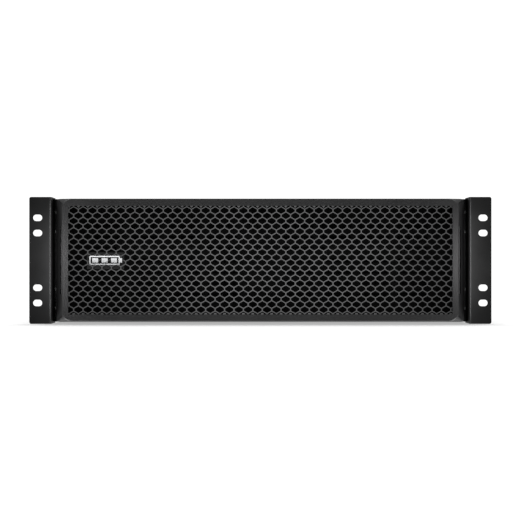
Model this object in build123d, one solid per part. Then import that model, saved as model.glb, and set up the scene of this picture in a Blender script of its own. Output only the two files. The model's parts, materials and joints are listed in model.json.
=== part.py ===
from build123d import *
import math
import os

# Server rack battery, three rack units high: a sheet-steel chassis with two rack ears, two sliding
# battery modules, a battery door and a plastic bezel with a honeycomb grille.
# Millimetres. X runs to the viewer's right, Y runs from the front to the back and Z is up. The
# origin is the centre of the rack slot pattern, on the back faces of the ear flanges.

# ---- Rack ears
RACK_WIDTH = 482.6
SLOT_SPAN = 465.1
INNER_SLOT_PITCH = 57.15
OUTER_SLOT_PITCH = 88.9
SLOT_LENGTH = 9.6
SLOT_WIDTH = 6.8
EAR_HEIGHT = 132.5
EAR_SHEET = 2.0
EAR_TIP_RADIUS = 2.0
EAR_LEG_END = 68.0
EAR_LEG_RADIUS = 9.0
EAR_INNER_BEND = 0.4
EAR_BEND_RADIUS = 2.0
EAR_SCREW_Y = (36.0, 56.0)
EAR_SCREW_Z = 45.0
EAR_SCREW_HOLE = 2.1

# ---- Chassis box
HALF_WIDTH = 218.4
HALF_HEIGHT = 64.6
SHEET = 1.5
FRONT = 26.0
REAR = 690.0
RETURN_X = 209.0
TOP_RETURN_X = 208.0
BAY_FLOOR_LIP = -58.9
BAY_ROOF_LIP = 57.8
BOTTOM_FOLD = 1.4
BULKHEAD_Y = 637.0
DIVIDER_HALF = 15.2
DIVIDER_SHEET = 1.2
DIVIDER_FRONT = 28.0
DIVIDER_REAR = 630.0
WALL_TOP = 61.4
THUMBSCREW_Z = 42.0
SCREW_PILOT = 1.7

# ---- Bezel
BEZEL_FRONT = -6.0
BEZEL_BACK = 25.7
BEZEL_CENTRE_Z = 0.5
BEZEL_HALF_WIDTH = 206.9
BEZEL_HALF_HEIGHT = 63.9
BEZEL_CORNER = 10.0
BEZEL_CHAMFER = 0.6
BEZEL_SHOULDER_Y = 5.0
BEZEL_SHOULDER = 211.4
BEZEL_SHOULDER_CORNER = 2.4
BEZEL_WAIST = 214.2
FLANGE_FRONT = 19.0
FLANGE_HALF_WIDTH = 216.2
FLANGE_HALF_HEIGHT = 64.4
SCOOP_FRONT = 1.5
SCOOP_LIMIT = (206.4, 59.1)
SCOOP_LIMIT_RISE = 0.8
SCOOP_GROOVE_X = 208.6
SCOOP_GROOVE_LENGTH = 70.5
SCOOP_GROOVE_WIDTH = 2.0
SCOOP_GROOVE_DEPTH = 7.0
PIP_LENGTH = 3.4
PIP_WIDTH = 2.0
PIP_HEIGHT = 1.0
PIP_X = 215.15
PIP_Z = (30.3, 50.6)
LIP = 2.4
WINDOW_HALF_WIDTH = 200.5
WINDOW_HALF_HEIGHT = 56.65
WINDOW_CENTRE_Z = 0.25
CAVITY_HALF_WIDTH = 203.2
CAVITY_TOP = 62.0
CAVITY_BOTTOM = -61.0

# ---- Honeycomb grille: rows of flattened hexagons, every other row moved by half a pitch
CELL_PITCH = 9.842
ROW_PITCH = 5.444
ROW_COUNT = 20
FIRST_CELL_X = 2.0
UPRIGHT_WEB = 1.2
SLANTED_WEB = 1.0
WEB_SLOPE = math.tan(math.radians(29.5))
GRILLE_SHEET = 1.2
GRILLE_GAP = 0.1
TOP_TOOTH = (2.1, 0.3, -2.4)
BOTTOM_TOOTH = (1.8, 1.1, 2.0)

# ---- Battery modules
MODULE_INNER = 17.0
MODULE_OUTER = 201.0
MODULE_FRONT = 42.0
MODULE_BACK = 619.0
MODULE_FLOOR = -58.5
TRAY_SHEET = 0.8
BLOCK_SIZE = (90.0, 69.8, 101.0)
BLOCK_COLUMNS = (63.9, 154.1)
BLOCK_ROWS = 8
BLOCK_PITCH = 70.4
BLOCK_FIRST_Y = 79.8
TERMINAL_X = 35.0
TERMINAL_Y = -25.0
TERMINAL_RISE = 6.0
PLUG_X = 109.0
PLUG_Z = -10.0
HANDLE_Z = 12.0
HANDLE_SCREW_X = (PLUG_X - 38.0, PLUG_X + 38.0)
LEAD_RADIUS = 2.5

# ---- Door and fixings
DOOR_FRONT = 24.2
DOOR_BACK = 25.7
DOOR_HALF_WIDTH = 211.8
DOOR_CLEARANCE = 0.6
DOOR_HALF_HEIGHT = 61.6
DOOR_SLOT_PITCH = (40.0, 12.0)
STUD_X = 190.0
STUD_Z = 48.0
STUD_BALL_Y = 15.5
STUD_BALL_RADIUS = 3.2
KNOB_RADIUS = 7.0
KNOB_FRONT = 14.0

# ---- Rear connections
CONNECTOR_X = 70.0
CONNECTOR_Z = -30.0
CONNECTOR_HALF = (20.0, 12.0)
CONNECTOR_FRONT = 668.0
CONTACT_X = 8.0
LEAD_LAYER_Y = 657.0
BREAKER_PIVOT_Y = 681.0
BREAKER_FRONT = 664.0
BREAKER_OPENING = (12.0, 15.0)
PORT_X = (148.0, 170.0)
PORT_Z = 35.0
PORT_HALF = (8.0, 7.0)
PORT_DEPTH = 14.0
AIR_SLOT_X = range(-180, 181, 40)
AIR_SLOT_Z = 54.0
GROUND = (-150.0, -45.0)
GROUND_COLLAR_RADIUS = 3.5
GROUND_PIN_RADIUS = 3.0
GROUND_PIN_LENGTH = 7.0

REAR_FACE = REAR + SHEET
GROUND_COLLAR_END = REAR_FACE + 6.0
FLOOR_TOP = -HALF_HEIGHT + SHEET
ROOF_BOTTOM = HALF_HEIGHT - SHEET
SIDES = (-1, 1)


# ---------------------------------------------------------------- shared shapes
def slab(x_low, x_high, y_low, y_high, z_low, z_high):
    """A box between two corners."""
    middle = Pos((x_low + x_high) / 2, (y_low + y_high) / 2, (z_low + z_high) / 2)
    return middle * Box(x_high - x_low, y_high - y_low, z_high - z_low)


def side_slab(side, x_low, x_high, y_low, y_high, z_low, z_high):
    """A box on the right for side 1, or its mirror image on the left for side -1."""
    ends = sorted((side * x_low, side * x_high))
    return slab(ends[0], ends[1], y_low, y_high, z_low, z_high)


def rod_y(x, z, radius, y_low, y_high):
    """A round rod along Y."""
    return Pos(x, (y_low + y_high) / 2, z) * Rot(90, 0, 0) * Cylinder(radius, y_high - y_low)


def rod_x(y, z, radius, x_low, x_high):
    """A round rod along X."""
    return Pos((x_low + x_high) / 2, y, z) * Rot(0, 90, 0) * Cylinder(radius, x_high - x_low)


def facing_y(x, y, z):
    """A drawing plane whose first axis is X and second axis is Z."""
    return Plane(origin=(x, y, z), x_dir=(1, 0, 0), z_dir=(0, -1, 0))


def facing_x(x, y, z):
    """A drawing plane whose first axis is Y and second axis is Z."""
    return Plane(origin=(x, y, z), x_dir=(0, 1, 0), z_dir=(1, 0, 0))


def obround(plane, length, width, depth, turn=0):
    """A slot-shaped cutter through a plate lying in the plane."""
    return extrude(plane * (Rot(0, 0, turn) * SlotOverall(length, width)), amount=depth, both=True)


def outline(plane, points, amount):
    """A prism from a closed outline of straight lines, drawn in the plane."""
    return extrude(plane * make_face(Polyline(*points, close=True)), amount=amount)


def mirrored(piece):
    """The piece's mirror image across the middle of the object."""
    return mirror(piece, about=Plane.YZ)


def save(name, *pieces):
    """Write one named node, which may hold several separate solids."""
    solids = [solid for piece in pieces for solid in piece.solids()]
    export_step(Compound(solids), f"parts/{name}.step")


def pan_screw(head_radius, head_height, shank_radius, shank_length):
    """A cross-recessed pan-head screw: its head stands on z = 0 and its shank points down."""
    head = Pos(0, 0, head_height / 2) * Cylinder(head_radius, head_height)
    head = fillet(head.edges().group_by(Axis.Z)[-1], head_height * 0.45)
    arm = Pos(0, 0, head_height) * Box(head_radius * 1.1, head_radius * 0.28, head_height)
    head -= arm
    head -= Rot(0, 0, 90) * arm
    return head + Pos(0, 0, -shank_length / 2) * Cylinder(shank_radius, shank_length)


def countersunk_screw(head_radius, shank_radius, depth, shank_length):
    """A flat-head screw whose top lies on z = 0."""
    head = Pos(0, 0, -depth / 2) * Cone(shank_radius, head_radius, depth)
    arm = Box(head_radius * 1.1, head_radius * 0.28, depth * 0.9)
    shank = Pos(0, 0, -(depth + shank_length) / 2) * Cylinder(shank_radius, shank_length - depth)
    return head - arm - Rot(0, 0, 90) * arm + shank


def placed(piece, position, direction):
    """The piece with its own +Z turned to the direction and its origin at the position."""
    return Plane(origin=position, z_dir=direction).location * piece


def wire_lead(points, radius, bend):
    """A round insulated lead along straight runs joined by arcs."""
    path = FilletPolyline(*points, radius=bend)
    start = Plane(origin=path @ 0, z_dir=path % 0)
    return sweep(start * Circle(radius), path=path)


# ---------------------------------------------------------------- rack ears
def rack_ear():
    """Right-hand rack ear: slotted flange in front, leg along the chassis side."""
    outer = RACK_WIDTH / 2
    inner = HALF_WIDTH
    points = (
        (inner, EAR_LEG_END),
        (inner, -EAR_SHEET),
        (outer, -EAR_SHEET),
        (outer, 0),
        (inner + EAR_SHEET, 0),
        (inner + EAR_SHEET, EAR_LEG_END),
    )
    profile = make_face(Polyline(*points, close=True))
    ear = Pos(0, 0, -EAR_HEIGHT / 2) * extrude(profile, amount=EAR_HEIGHT)
    uprights = ear.edges().filter_by(Axis.Z)
    outside = uprights.sort_by_distance((inner, -EAR_SHEET, 0))[0]
    ear = fillet(outside, EAR_BEND_RADIUS)
    uprights = ear.edges().filter_by(Axis.Z)
    inside = uprights.sort_by_distance((inner + EAR_SHEET, 0, 0))[0]
    ear = fillet(inside, EAR_INNER_BEND)
    tips = [edge for edge in ear.edges().filter_by(Axis.Y) if edge.center().X > outer - 0.1]
    ear = fillet(tips, EAR_TIP_RADIUS)
    heels = [edge for edge in ear.edges().filter_by(Axis.X) if edge.center().Y > EAR_LEG_END - 0.1]
    ear = fillet(heels, EAR_LEG_RADIUS)
    for sign in SIDES:
        for pitch in (INNER_SLOT_PITCH, OUTER_SLOT_PITCH):
            ear -= obround(facing_y(SLOT_SPAN / 2, 0, sign * pitch / 2), SLOT_LENGTH, SLOT_WIDTH, 4)
        for y in EAR_SCREW_Y:
            ear -= rod_x(y, sign * EAR_SCREW_Z, EAR_SCREW_HOLE, inner - 2, inner + 4)
    return ear


def ear_screws():
    """Four screws through each ear's leg into the chassis side."""
    screw = pan_screw(4.0, 2.2, 2.0, 7.0)
    face = HALF_WIDTH + EAR_SHEET
    places = [(side, y, z * EAR_SCREW_Z) for side in SIDES for y in EAR_SCREW_Y for z in SIDES]
    return [placed(screw, (side * face, y, z), (side, 0, 0)) for side, y, z in places]


# ---------------------------------------------------------------- chassis
COVER_SCREW_Y = (70.0, 265.0, 460.0, 655.0)
COVER_SCREW_X = 210.0
PANEL_SCREW_Z = (-50.0, 0.0, 50.0)
SIDE_VENT_Y = (646, 656, 666, 676, 520, 532, 544, 556, 568)
SIDE_VENT = (70.0, 4.0)
SIDE_VENT_Z = 10.0


def base_pan():
    """Folded base: floor and sides, with narrow returns along the open edges."""
    length = REAR - FRONT
    middle = (REAR + FRONT) / 2
    shell = Pos(0, middle, -SHEET / 2) * Box(2 * HALF_WIDTH, length, 2 * HALF_HEIGHT - SHEET)
    long_edges = shell.edges().filter_by(Axis.Y).group_by(Axis.Z)[0]
    shell = fillet(long_edges, BOTTOM_FOLD)
    inner = HALF_WIDTH - SHEET
    shell -= slab(-inner, inner, FRONT - 1, REAR + 1, FLOOR_TOP, HALF_HEIGHT)
    shell += slab(-inner, inner, FRONT, FRONT + SHEET, FLOOR_TOP, BAY_FLOOR_LIP)
    shell += slab(-inner, inner, REAR - SHEET, REAR, FLOOR_TOP, BAY_FLOOR_LIP + 2)
    for side in SIDES:
        shell += side_slab(side, RETURN_X, inner, FRONT, FRONT + SHEET, BAY_FLOOR_LIP, ROOF_BOTTOM)
        under_roof = ROOF_BOTTOM - SHEET
        shell += side_slab(side, TOP_RETURN_X, inner, FRONT + SHEET, REAR, under_roof, ROOF_BOTTOM)
        shell += side_slab(side, TOP_RETURN_X, inner, REAR - SHEET, REAR, BAY_FLOOR_LIP, under_roof)
        for y in SIDE_VENT_Y:
            shell -= obround(facing_x(side * HALF_WIDTH, y, SIDE_VENT_Z), *SIDE_VENT, 6, turn=90)
        for z in SIDES:
            for y in EAR_SCREW_Y:
                ends = sorted((side * (HALF_WIDTH - 6), side * (HALF_WIDTH + 4)))
                shell -= rod_x(y, z * EAR_SCREW_Z, EAR_SCREW_HOLE, *ends)
        for y in COVER_SCREW_Y:
            shell -= Pos(side * COVER_SCREW_X, y, ROOF_BOTTOM) * Cylinder(SCREW_PILOT, 8)
        for z in PANEL_SCREW_Z:
            shell -= rod_y(side * COVER_SCREW_X, z, SCREW_PILOT, REAR - 4, REAR + 1)
    return shell


def top_cover():
    """Flat lid with a front lip, fixed by flush screws."""
    lid = slab(-HALF_WIDTH, HALF_WIDTH, FRONT, REAR, ROOF_BOTTOM, HALF_HEIGHT)
    lid += slab(0.2 - RETURN_X, RETURN_X - 0.2, FRONT, FRONT + SHEET, BAY_ROOF_LIP, ROOF_BOTTOM)
    for side in SIDES:
        for y in COVER_SCREW_Y:
            lid -= Pos(side * COVER_SCREW_X, y, HALF_HEIGHT - SHEET / 2) * Cone(1.6, 3.4, SHEET)
    return lid


def top_cover_screws():
    """Flush screws that hold the lid to the base pan's top returns."""
    screw = countersunk_screw(3.4, 1.6, SHEET, 7.0)
    return [Pos(side * COVER_SCREW_X, y, HALF_HEIGHT) * screw for side in SIDES for y in COVER_SCREW_Y]


def rear_panel():
    """Rear plate with openings for the breaker, power connectors, ports and air."""
    panel = slab(-HALF_WIDTH, HALF_WIDTH, REAR, REAR_FACE, -HALF_HEIGHT, HALF_HEIGHT)
    openings = [(0, 0, BREAKER_OPENING)]
    openings += [(side * CONNECTOR_X, CONNECTOR_Z, CONNECTOR_HALF) for side in SIDES]
    openings += [(x, PORT_Z, PORT_HALF) for x in PORT_X]
    for x, z, (wide, high) in openings:
        panel -= slab(x - wide, x + wide, REAR - 1, REAR_FACE + 1, z - high, z + high)
    for side in SIDES:
        for z in PANEL_SCREW_Z:
            panel -= rod_y(side * COVER_SCREW_X, z, SCREW_PILOT, REAR - 1, REAR_FACE + 1)
    panel -= rod_y(GROUND[0], GROUND[1], GROUND_COLLAR_RADIUS + 0.1, REAR - 1, REAR_FACE + 1)
    for x in AIR_SLOT_X:
        panel -= obround(facing_y(x, REAR, AIR_SLOT_Z), 30, 4, 4)
    return panel


def rear_panel_screws():
    """Six pan-head screws down the two sides of the rear panel."""
    screw = pan_screw(3.2, 1.8, 1.6, 6.0)
    places = [(side * COVER_SCREW_X, z) for side in SIDES for z in PANEL_SCREW_Z]
    return [placed(screw, (x, REAR_FACE, z), (0, 1, 0)) for x, z in places]


def centre_divider():
    """Upright channel between the bays, with a front tab that takes the thumbscrews."""
    wall = DIVIDER_HALF - DIVIDER_SHEET
    front, rear = DIVIDER_FRONT, DIVIDER_REAR
    channel = slab(-wall, wall, front + 2, rear, FLOOR_TOP, FLOOR_TOP + DIVIDER_SHEET)
    for side in SIDES:
        channel += side_slab(side, wall, DIVIDER_HALF, front + 2, rear, FLOOR_TOP, WALL_TOP)
    channel += slab(-DIVIDER_HALF, DIVIDER_HALF, front, front + 2, FLOOR_TOP + 1, 56)
    for sign in SIDES:
        channel -= rod_y(0, sign * THUMBSCREW_Z, 2.6, front - 1, front + 3)
    return channel


def bay_runners():
    """Four plastic rails that the modules slide on."""
    rails = []
    for side in SIDES:
        for low in (34, 172):
            rail = side_slab(side, low, low + 12, 32, 616, FLOOR_TOP, MODULE_FLOOR - 0.2)
            top_ends = rail.edges().filter_by(Axis.X).group_by(Axis.Z)[-1]
            rails.append(chamfer(top_ends, 2.0))
    return rails


def side_guides():
    """Folded angles that keep each module clear of the chassis side."""
    guides = []
    for side in SIDES:
        guide = side_slab(side, 201.7, 203.2, 40, 610, FLOOR_TOP, -30)
        guide += side_slab(side, 203.2, 212, 40, 610, FLOOR_TOP, FLOOR_TOP + SHEET)
        guides.append(guide)
    return guides


def bulkhead():
    """Cross wall behind the bays, with openings for the docking sockets and air."""
    inner = HALF_WIDTH - SHEET
    wall = slab(-inner, inner, BULKHEAD_Y, BULKHEAD_Y + SHEET, FLOOR_TOP, WALL_TOP)
    for side in SIDES:
        x = side * PLUG_X
        wall -= slab(x - 18, x + 18, BULKHEAD_Y - 1, BULKHEAD_Y + 3, PLUG_Z - 8, PLUG_Z + 8)
        for vent in (40, 62, 84, 106, 128, 150, 172):
            wall -= obround(facing_y(side * vent, BULKHEAD_Y, 42), 26, 5, 4, turn=90)
    return wall


def insulation_sheet():
    """Thin insulating sheet under the lid."""
    return slab(-200, 200, 60, 620, ROOF_BOTTOM - 0.4, ROOF_BOTTOM)


# ---------------------------------------------------------------- docking sockets and plugs
def dock_socket(side):
    """Socket on the bulkhead that a module's plug enters as the module goes home."""
    x = side * PLUG_X
    socket = slab(x - 26, x + 26, 623, BULKHEAD_Y, PLUG_Z - 13, PLUG_Z + 13)
    socket += slab(x - 18, x + 18, BULKHEAD_Y, 642, PLUG_Z - 8, PLUG_Z + 8)
    socket -= slab(x - 21, x + 21, 622, 635, PLUG_Z - 8.8, PLUG_Z + 8.8)
    for blade in SIDES:
        socket -= dock_contact(x + blade * 10)
    return socket


def dock_contact(x):
    """Flat copper blade that runs through the socket's back wall."""
    return slab(x - 5, x + 5, 626, 644, PLUG_Z - 0.8, PLUG_Z + 0.8)


def dock_plug():
    """Right-hand module plug, clamped in the tray's rear wall."""
    wall = MODULE_BACK - TRAY_SHEET
    plug = slab(PLUG_X - 20, PLUG_X + 20, MODULE_BACK, 633, PLUG_Z - 8, PLUG_Z + 8)
    plug += slab(PLUG_X - 15, PLUG_X + 15, wall, MODULE_BACK, PLUG_Z - 6, PLUG_Z + 6)
    plug += slab(PLUG_X - 20, PLUG_X + 20, 610.5, wall, PLUG_Z - 8, PLUG_Z + 8)
    for blade in SIDES:
        x = PLUG_X + blade * 10
        plug -= slab(x - 5.5, x + 5.5, 624, 634, PLUG_Z - 1.3, PLUG_Z + 1.3)
    return plug


# ---------------------------------------------------------------- rear compartment
BOARD_Y = 643.0
BOARD_SHEET = 1.6
BOARD_BOX = (-60.0, 60.0, -30.0, 50.0)


def monitor_board():
    """Circuit board that watches the battery strings."""
    left, right, bottom, top = BOARD_BOX
    return slab(left, right, BOARD_Y, BOARD_Y + BOARD_SHEET, bottom, top)


def board_standoffs():
    """Four short posts between the bulkhead and the board."""
    left, right, bottom, top = BOARD_BOX
    places = [(x, z) for x in (left + 6, right - 6) for z in (bottom + 6, top - 6)]
    return [rod_y(x, z, 3.0, BULKHEAD_Y + SHEET, BOARD_Y) for x, z in places]


def board_parts():
    """Chips, capacitors, a relay and the signal connector on the board."""
    face = BOARD_Y + BOARD_SHEET
    parts = [slab(x - 7, x + 7, face, face + 1.8, 8, 22) for x in (-40, -16)]
    parts += [rod_y(x, -14, 4.5, face, face + 8) for x in (-44, -32, -20)]
    parts.append(slab(2, 30, face, face + 8.5, -8, 6))
    parts.append(slab(38, 56, face, face + 6, 26, 34))
    return parts


def signal_cable():
    """Lead from the ports to the board's signal connector."""
    start_x = sum(PORT_X) / 2
    face = BOARD_Y + BOARD_SHEET + 6
    points = (
        (start_x, REAR - PORT_DEPTH, PORT_Z),
        (start_x, 666, PORT_Z),
        (100, 666, PORT_Z + 6),
        (47, 666, 30),
        (47, face, 30),
    )
    return wire_lead(points, 1.5, 6)


def comm_ports():
    """Two shielded data sockets with their own openings, side by side."""
    bodies = []
    wide, high = PORT_HALF
    front = REAR - PORT_DEPTH
    bridge = slab(PORT_X[0] + wide, PORT_X[1] - wide, front, REAR - 4, PORT_Z - high, PORT_Z + high)
    for x in PORT_X:
        body = slab(x - wide, x + wide, front, REAR_FACE + 0.5, PORT_Z - high, PORT_Z + high)
        body -= slab(x - 6, x + 6, REAR - 9, REAR_FACE + 1, PORT_Z - 4.5, PORT_Z + 4)
        body -= slab(x - 3, x + 3, REAR - 9, REAR_FACE + 1, PORT_Z - 6, PORT_Z - 4)
        bodies.append(body)
    return bodies[0] + bridge + bodies[1]


def dc_connector(side):
    """Power connector housing with a deep mouth to the rear."""
    x = side * CONNECTOR_X
    z = CONNECTOR_Z
    wide, high = CONNECTOR_HALF
    housing = slab(x - wide, x + wide, CONNECTOR_FRONT, REAR_FACE + 1.5, z - high, z + high)
    mouth = slab(x - 16.5, x + 16.5, 676, REAR_FACE + 2, z - 8.5, z + 8.5)
    upright = mouth.edges().filter_by(Axis.Y)
    housing -= chamfer(upright, 2.0)
    for contact in SIDES:
        housing -= dc_contact(x + contact * CONTACT_X)
    return housing


def dc_contact(x):
    """Flat blade in a power connector."""
    return slab(x - 1, x + 1, CONNECTOR_FRONT, CONNECTOR_FRONT + 20, CONNECTOR_Z - 5, CONNECTOR_Z + 5)


def breaker_body():
    """Two-pole breaker case, open to the rear around its lever."""
    case = slab(-18, 18, BREAKER_FRONT, REAR, -40, 40)
    case -= slab(-11, 11, BREAKER_FRONT + 8, REAR + 1, -14, 14)
    case -= rod_x(BREAKER_PIVOT_Y, 0, 1.56, -15, 15)
    return case


def breaker_lever():
    """Lever on a pivot drum, tilted up in the on position."""
    drum = rod_x(BREAKER_PIVOT_Y, 0, 6, -10, 10) + rod_x(BREAKER_PIVOT_Y, 0, 1.5, -14.5, 14.5)
    bar = slab(-7, 7, 0, 17, -2.5, 2.5)
    bar = fillet(bar.edges().filter_by(Axis.X).group_by(Axis.Y)[-1], 2.0)
    return drum + Pos(0, BREAKER_PIVOT_Y, 0) * Rot(35, 0, 0) * bar


def positive_leads():
    """Right-hand positive leads: module socket to breaker, and breaker to connector."""
    socket_x = PLUG_X + 10
    layer = LEAD_LAYER_Y
    supply = (
        (socket_x, 644, PLUG_Z),
        (socket_x, layer, PLUG_Z),
        (socket_x, layer, 15),
        (9, layer, 26),
        (9, BREAKER_FRONT, 26),
    )
    contact_x = CONNECTOR_X - CONTACT_X
    output = (
        (9, BREAKER_FRONT, -26),
        (9, layer - 1, -26),
        (contact_x, layer - 1, CONNECTOR_Z),
        (contact_x, CONNECTOR_FRONT, CONNECTOR_Z),
    )
    return wire_lead(supply, LEAD_RADIUS, 5), wire_lead(output, LEAD_RADIUS, 5)


def negative_lead():
    """Right-hand negative lead from module socket to connector."""
    socket_x = PLUG_X - 10
    contact_x = CONNECTOR_X + CONTACT_X
    points = (
        (socket_x, 644, PLUG_Z),
        (socket_x, LEAD_LAYER_Y - 1, PLUG_Z),
        (contact_x, LEAD_LAYER_Y - 1, CONNECTOR_Z),
        (contact_x, CONNECTOR_FRONT, CONNECTOR_Z),
    )
    return wire_lead(points, LEAD_RADIUS, 6)


def hexagon(across_flats, y_low, y_high, x, z):
    """A hexagonal prism along Y."""
    plane = facing_y(x, y_high, z)
    face = plane * RegularPolygon(across_flats / math.sqrt(3), 6)
    return extrude(face, amount=y_high - y_low)


def ground_stud():
    """Earth stud: hexagon head behind the rear panel, thick collar and a thinner free end."""
    x, z = GROUND
    stud = hexagon(10, REAR - 4, REAR, x, z)
    stud += rod_y(x, z, GROUND_COLLAR_RADIUS, REAR, GROUND_COLLAR_END)
    tip = GROUND_COLLAR_END + GROUND_PIN_LENGTH
    return stud + rod_y(x, z, GROUND_PIN_RADIUS, GROUND_COLLAR_END, tip)


def ground_nut():
    """Nut on the earth stud's collar."""
    x, z = GROUND
    nut = hexagon(11, REAR_FACE, REAR_FACE + 5, x, z)
    return nut - rod_y(x, z, GROUND_COLLAR_RADIUS + 0.05, REAR_FACE - 1, REAR_FACE + 6)


def rating_plate():
    """Blank plate on the rear panel."""
    return slab(-185, -125, REAR_FACE, REAR_FACE + 0.4, 5, 35)


# ---------------------------------------------------------------- battery door
def battery_door():
    """Slotted steel door over both bays."""
    half = DOOR_HALF_WIDTH
    across, up = DOOR_SLOT_PITCH
    door = slab(-half, half, DOOR_FRONT, DOOR_BACK, -DOOR_HALF_HEIGHT, DOOR_HALF_HEIGHT)
    for sign in SIDES:
        door -= rod_y(0, sign * THUMBSCREW_Z, 3.0, DOOR_FRONT - 1, DOOR_BACK + 1)
        for column in range(1, 5):
            for row in range(-3, 4):
                place = facing_y(sign * column * across, DOOR_FRONT, row * up)
                door -= obround(place, 32, 4, 4)
    return door


def bezel_ball_studs():
    """Four ball studs on the door that the bezel snaps onto."""
    studs = []
    for side in SIDES:
        for sign in SIDES:
            x = side * STUD_X
            z = sign * STUD_Z
            stud = rod_y(x, z, 4.5, DOOR_FRONT - 2, DOOR_FRONT)
            stud += rod_y(x, z, 1.8, STUD_BALL_Y - 0.5, DOOR_FRONT - 2)
            studs.append(stud + Pos(x, STUD_BALL_Y, z) * Sphere(STUD_BALL_RADIUS))
    return studs


def thumbscrew(z):
    """Captive thumbscrew: grooved knob in front of the door, shank into the divider's tab."""
    knob = rod_y(0, z, KNOB_RADIUS, KNOB_FRONT, DOOR_FRONT - 0.2)
    reach = KNOB_RADIUS + 0.4
    for step in range(12):
        angle = math.radians(30 * step)
        x = reach * math.cos(angle)
        knob -= rod_y(x, z + reach * math.sin(angle), 1.0, KNOB_FRONT - 1, DOOR_FRONT)
    knob -= slab(-5, 5, KNOB_FRONT - 1, KNOB_FRONT + 1.2, z - 0.6, z + 0.6)
    return knob + rod_y(0, z, 2.5, DOOR_FRONT - 0.2, 34)


# ---------------------------------------------------------------- bezel
def rounded(half_width, top, bottom, corner, y):
    """A rounded rectangle standing at the given depth."""
    plane = facing_y(0, y, (top + bottom) / 2)
    return plane * RectangleRounded(2 * half_width, top - bottom, corner)


def scoop():
    """Right-hand finger scoop: the bezel's side set back to a crowned wall, and a grip groove."""
    start = (BEZEL_HALF_WIDTH, SCOOP_FRONT)
    end = (BEZEL_WAIST, FLANGE_FRONT)
    clear_x, clear_y = 222.0, -8.0
    edge = Polyline(start, (start[0], clear_y), (clear_x, clear_y), (clear_x, end[1]), end)
    curve = Spline(start, end, tangents=[(1.0, 0.7), (0.05, 1.0)])
    hollow = Pos(0, 0, -75) * extrude(make_face([edge, curve]), amount=150)
    sides = [(x, SCOOP_LIMIT[1] + (x - SCOOP_LIMIT[0]) * SCOOP_LIMIT_RISE) for x in (200.0, 225.0)]
    band = sides + [(x, -z) for x, z in reversed(sides)]
    limits = outline(facing_y(0, 40, BEZEL_CENTRE_Z), band, 60)
    groove = obround(
        facing_y(SCOOP_GROOVE_X, 0, 0),
        SCOOP_GROOVE_LENGTH,
        SCOOP_GROOVE_WIDTH,
        SCOOP_GROOVE_DEPTH,
        turn=90,
    )
    return hollow & limits, groove


def bezel_pips():
    """Small obround locating pips down the front of the bezel's side flanges."""
    sketch = Rot(0, 0, 90) * SlotOverall(PIP_LENGTH, PIP_WIDTH)
    pip = extrude(facing_y(0, FLANGE_FRONT + 0.3, 0) * sketch, amount=PIP_HEIGHT + 0.3)
    pip = fillet(pip.edges().group_by(Axis.Y)[0], 0.45)
    heights = [sign * z for sign in SIDES for z in PIP_Z]
    return [Pos(side * PIP_X, 0, z) * pip for side in SIDES for z in heights]


def bezel_frame():
    """Moulded bezel: flared outer wall, front lip around the window, finger scoops and flange."""
    top = BEZEL_CENTRE_Z + BEZEL_HALF_HEIGHT
    bottom = BEZEL_CENTRE_Z - BEZEL_HALF_HEIGHT
    cut = BEZEL_CHAMFER
    high = FLANGE_HALF_HEIGHT
    sections = [
        rounded(BEZEL_HALF_WIDTH - cut, top - cut, bottom + cut, BEZEL_CORNER - cut, BEZEL_FRONT),
        rounded(BEZEL_HALF_WIDTH, top, bottom, BEZEL_CORNER, BEZEL_FRONT + cut),
        rounded(BEZEL_SHOULDER, high, -high, BEZEL_SHOULDER_CORNER, BEZEL_SHOULDER_Y),
        rounded(BEZEL_WAIST, high, -high, 0.5, FLANGE_FRONT + 0.5),
    ]
    frame = loft(sections, ruled=True)
    hollow, groove = scoop()
    for piece in (hollow, mirrored(hollow), groove, mirrored(groove)):
        frame -= piece
    flange = slab(-FLANGE_HALF_WIDTH, FLANGE_HALF_WIDTH, FLANGE_FRONT, BEZEL_BACK, -high, high)
    frame += fillet(flange.edges().filter_by(Axis.Y), 0.5)
    for pip in bezel_pips():
        frame += pip
    lip_back = BEZEL_FRONT + LIP
    wide = CAVITY_HALF_WIDTH
    frame -= slab(-wide, wide, lip_back, BEZEL_BACK + 1, CAVITY_BOTTOM, CAVITY_TOP)
    window_low = WINDOW_CENTRE_Z - WINDOW_HALF_HEIGHT
    window_high = WINDOW_CENTRE_Z + WINDOW_HALF_HEIGHT
    wide = WINDOW_HALF_WIDTH
    frame -= slab(-wide, wide, BEZEL_FRONT - 1, lip_back + 1, window_low, window_high)
    wide = DOOR_HALF_WIDTH + DOOR_CLEARANCE
    high = DOOR_HALF_HEIGHT + DOOR_CLEARANCE
    frame -= slab(-wide, wide, DOOR_FRONT - 0.9, BEZEL_BACK + 1, -high, high)
    return frame


def bezel_clips():
    """Four sockets inside the bezel that snap over the door's ball studs."""
    clips = []
    for side in SIDES:
        for sign in SIDES:
            z = sign * STUD_Z
            clip = side_slab(side, 182, CAVITY_HALF_WIDTH, 9, 20.5, z - 7, z + 7)
            clips.append(clip - rod_y(side * STUD_X, z, 3.5, 11, 22))
    return clips


# ---------------------------------------------------------------- grille
def clip_outline(points, axis, limit, sign):
    """The part of a closed outline on one side of a line of constant x or z."""
    kept = []
    for index, point in enumerate(points):
        before = points[index - 1]
        inside = sign * (point[axis] - limit) <= 0
        was_inside = sign * (before[axis] - limit) <= 0
        if inside != was_inside:
            share = (limit - before[axis]) / (point[axis] - before[axis])
            kept.append(tuple(b + share * (p - b) for b, p in zip(before, point)))
        if inside:
            kept.append(point)
    return kept


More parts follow.
